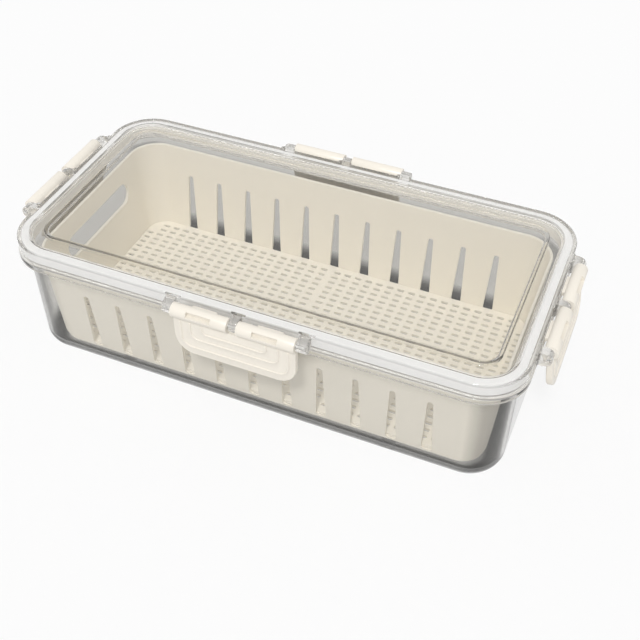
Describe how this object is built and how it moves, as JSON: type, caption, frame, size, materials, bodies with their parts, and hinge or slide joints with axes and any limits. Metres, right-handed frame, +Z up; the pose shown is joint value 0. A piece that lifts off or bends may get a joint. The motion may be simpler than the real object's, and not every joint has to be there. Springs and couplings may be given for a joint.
{
  "type": "food storage container",
  "caption": "Clear rectangular food storage container with a sealed lid, hinged clip latches on its sides and a lift-out slotted drain basket.",
  "frame": {"origin": "centre of the tub's underside", "axes": "+X along the length, -Y to the front, +Z up"},
  "size_m": [0.311, 0.165, 0.08],
  "materials": {
    "clear_plastic": "clear, polished",
    "white_silicone": "soft, satin",
    "basket_plastic": "fine matt moulding",
    "latch_plastic": "satin moulding",
    "pin_steel": "drawn wire"
  },
  "bodies": {
    "tub": {"tub": "clear_plastic"},
    "lid": {"lid": "clear_plastic", "lid_seal": "white_silicone", "pin_front": "pin_steel", "pin_right": "pin_steel", "pin_back": "pin_steel", "pin_left": "pin_steel"},
    "basket": {"basket": "basket_plastic", "basket_floor": "basket_plastic"},
    "latch_front": {"latch_front": "latch_plastic"},
    "latch_right": {"latch_right": "latch_plastic"},
    "latch_back": {"latch_back": "latch_plastic"},
    "latch_left": {"latch_left": "latch_plastic"}
  },
  "joints": [
    {"name": "lid_lift", "type": "slide", "parent": "tub", "child": "lid", "axis": [0, 0, 1], "range_m": [0, 0.16]},
    {"name": "basket_lift", "type": "slide", "parent": "tub", "child": "basket", "axis": [0, 0, 1], "range_m": [0, 0.08]},
    {"name": "latch_front_swing", "type": "hinge", "parent": "lid", "child": "latch_front", "pos_m": [0, -0.0786, 0.0756], "axis": [-1, 0, 0], "range_deg": [0, 120]},
    {"name": "latch_right_swing", "type": "hinge", "parent": "lid", "child": "latch_right", "pos_m": [0.1511, 0, 0.0756], "axis": [0, -1, 0], "range_deg": [-8, 112]},
    {"name": "latch_back_swing", "type": "hinge", "parent": "lid", "child": "latch_back", "pos_m": [0, 0.0786, 0.0756], "axis": [1, 0, 0], "range_deg": [0, 120]},
    {"name": "latch_left_swing", "type": "hinge", "parent": "lid", "child": "latch_left", "pos_m": [-0.1511, 0, 0.0756], "axis": [0, 1, 0], "range_deg": [0, 120]}
  ],
  "couplings": [
    {"joint": "basket_lift", "follows": "lid_lift", "ratio": 0.5}
  ]
}
